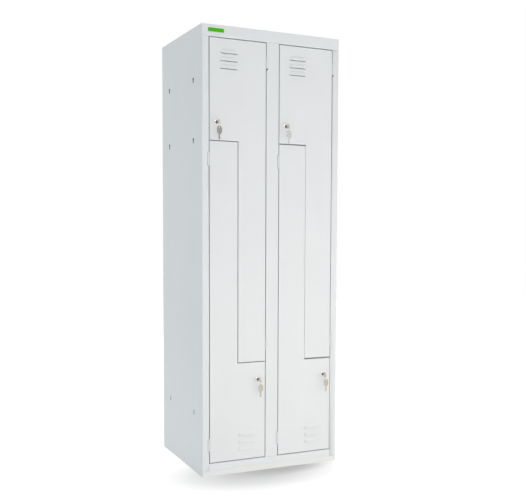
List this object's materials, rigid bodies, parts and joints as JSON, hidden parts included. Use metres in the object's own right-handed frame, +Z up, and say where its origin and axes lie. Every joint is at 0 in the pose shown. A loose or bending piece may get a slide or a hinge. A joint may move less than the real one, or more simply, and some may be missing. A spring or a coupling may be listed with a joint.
{
  "type": "z locker",
  "caption": "Free-standing steel cabinet of two columns, each with an upper and a lower compartment behind interlocking L-shaped doors, with cam locks, keys, shelves and coat rails.",
  "frame": {"origin": "on the floor, under the middle of the cabinet's footprint", "axes": "+Z up, -Y towards the doors' side, +X to the right of a viewer who faces the doors"},
  "size_m": [0.6, 0.5871, 1.8],
  "materials": {
    "body_paint": "satin grey powder coat",
    "door_paint": "satin grey powder coat",
    "inside_paint": "satin grey powder coat",
    "zinc": "zinc plated",
    "chrome": "polished",
    "nickel": "nickel plated",
    "green_plate": "plain green"
  },
  "bodies": {
    "cabinet": {"left_side_panel": "body_paint", "right_side_panel": "body_paint", "back_panel": "body_paint", "top_panel": "body_paint", "bottom_panel": "body_paint", "base_frame": "body_paint", "mullion": "body_paint", "centre_partition": "inside_paint", "left_z_partition": "inside_paint", "right_z_partition": "inside_paint", "left_hat_shelf": "inside_paint", "right_hat_shelf": "inside_paint", "left_shoe_shelf": "inside_paint", "right_shoe_shelf": "inside_paint", "left_upper_coat_rail": "zinc", "left_lower_coat_rail": "zinc", "right_upper_coat_rail": "zinc", "right_lower_coat_rail": "zinc", "label_plate": "green_plate", "left_upper_door_top_hinge_frame_leaf": "body_paint", "left_upper_door_bottom_hinge_frame_leaf": "body_paint", "left_lower_door_top_hinge_frame_leaf": "body_paint", "left_lower_door_bottom_hinge_frame_leaf": "body_paint", "right_upper_door_top_hinge_frame_leaf": "body_paint", "right_upper_door_bottom_hinge_frame_leaf": "body_paint", "right_lower_door_top_hinge_frame_leaf": "body_paint", "right_lower_door_bottom_hinge_frame_leaf": "body_paint"},
    "left_upper_door": {"left_upper_door": "door_paint", "left_upper_door_top_hinge_door_leaf": "body_paint", "left_upper_door_bottom_hinge_door_leaf": "body_paint", "left_upper_lock_housing": "chrome"},
    "left_upper_lock": {"left_upper_lock_plug": "chrome", "left_upper_key": "nickel", "left_upper_key_ring": "zinc"},
    "left_upper_spare_key": {"left_upper_spare_key": "nickel"},
    "left_lower_door": {"left_lower_door": "door_paint", "left_lower_door_top_hinge_door_leaf": "body_paint", "left_lower_door_bottom_hinge_door_leaf": "body_paint", "left_lower_lock_housing": "chrome"},
    "left_lower_lock": {"left_lower_lock_plug": "chrome", "left_lower_key": "nickel", "left_lower_key_ring": "zinc"},
    "left_lower_spare_key": {"left_lower_spare_key": "nickel"},
    "right_upper_door": {"right_upper_door": "door_paint", "right_upper_door_top_hinge_door_leaf": "body_paint", "right_upper_door_bottom_hinge_door_leaf": "body_paint", "right_upper_lock_housing": "chrome"},
    "right_upper_lock": {"right_upper_lock_plug": "chrome", "right_upper_key": "nickel", "right_upper_key_ring": "zinc"},
    "right_upper_spare_key": {"right_upper_spare_key": "nickel"},
    "right_lower_door": {"right_lower_door": "door_paint", "right_lower_door_top_hinge_door_leaf": "body_paint", "right_lower_door_bottom_hinge_door_leaf": "body_paint", "right_lower_lock_housing": "chrome"},
    "right_lower_lock": {"right_lower_lock_plug": "chrome", "right_lower_key": "nickel", "right_lower_key_ring": "zinc"},
    "right_lower_spare_key": {"right_lower_spare_key": "nickel"}
  },
  "joints": [
    {"name": "left_upper_door_hinge", "type": "hinge", "parent": "cabinet", "child": "left_upper_door", "pos_m": [-0.0252, -0.274, 0.9], "axis": [0, 0, 1], "range_deg": [0, 100]},
    {"name": "left_upper_lock_turn", "type": "hinge", "parent": "left_upper_door", "child": "left_upper_lock", "pos_m": [-0.2385, -0.275, 1.422], "axis": [0, 1, 0], "range_deg": [0, 90]},
    {"name": "left_upper_spare_key_swing", "type": "hinge", "parent": "left_upper_lock", "child": "left_upper_spare_key", "pos_m": [-0.2385, -0.3042, 1.3996], "axis": [0, 1, 0], "range_deg": [-90, 0]},
    {"name": "left_lower_door_hinge", "type": "hinge", "parent": "cabinet", "child": "left_lower_door", "pos_m": [-0.2738, -0.274, 0.9], "axis": [0, 0, -1], "range_deg": [0, 100]},
    {"name": "left_lower_lock_turn", "type": "hinge", "parent": "left_lower_door", "child": "left_lower_lock", "pos_m": [-0.0605, -0.275, 0.383], "axis": [0, 1, 0], "range_deg": [0, 90]},
    {"name": "left_lower_spare_key_swing", "type": "hinge", "parent": "left_lower_lock", "child": "left_lower_spare_key", "pos_m": [-0.0605, -0.3042, 0.3606], "axis": [0, 1, 0], "range_deg": [-90, 0]},
    {"name": "right_upper_door_hinge", "type": "hinge", "parent": "cabinet", "child": "right_upper_door", "pos_m": [0.2738, -0.274, 0.9], "axis": [0, 0, 1], "range_deg": [0, 100]},
    {"name": "right_upper_lock_turn", "type": "hinge", "parent": "right_upper_door", "child": "right_upper_lock", "pos_m": [0.0605, -0.275, 1.422], "axis": [0, 1, 0], "range_deg": [0, 90]},
    {"name": "right_upper_spare_key_swing", "type": "hinge", "parent": "right_upper_lock", "child": "right_upper_spare_key", "pos_m": [0.0605, -0.3042, 1.3996], "axis": [0, 1, 0], "range_deg": [-90, 0]},
    {"name": "right_lower_door_hinge", "type": "hinge", "parent": "cabinet", "child": "right_lower_door", "pos_m": [0.0252, -0.274, 0.9], "axis": [0, 0, -1], "range_deg": [0, 100]},
    {"name": "right_lower_lock_turn", "type": "hinge", "parent": "right_lower_door", "child": "right_lower_lock", "pos_m": [0.2385, -0.275, 0.383], "axis": [0, 1, 0], "range_deg": [0, 90]},
    {"name": "right_lower_spare_key_swing", "type": "hinge", "parent": "right_lower_lock", "child": "right_lower_spare_key", "pos_m": [0.2385, -0.3042, 0.3606], "axis": [0, 1, 0], "range_deg": [-90, 0]}
  ],
  "couplings": [
    {"joint": "left_upper_spare_key_swing", "follows": "left_upper_lock_turn", "ratio": -1},
    {"joint": "left_lower_spare_key_swing", "follows": "left_lower_lock_turn", "ratio": -1},
    {"joint": "right_upper_spare_key_swing", "follows": "right_upper_lock_turn", "ratio": -1},
    {"joint": "right_lower_spare_key_swing", "follows": "right_lower_lock_turn", "ratio": -1}
  ]
}
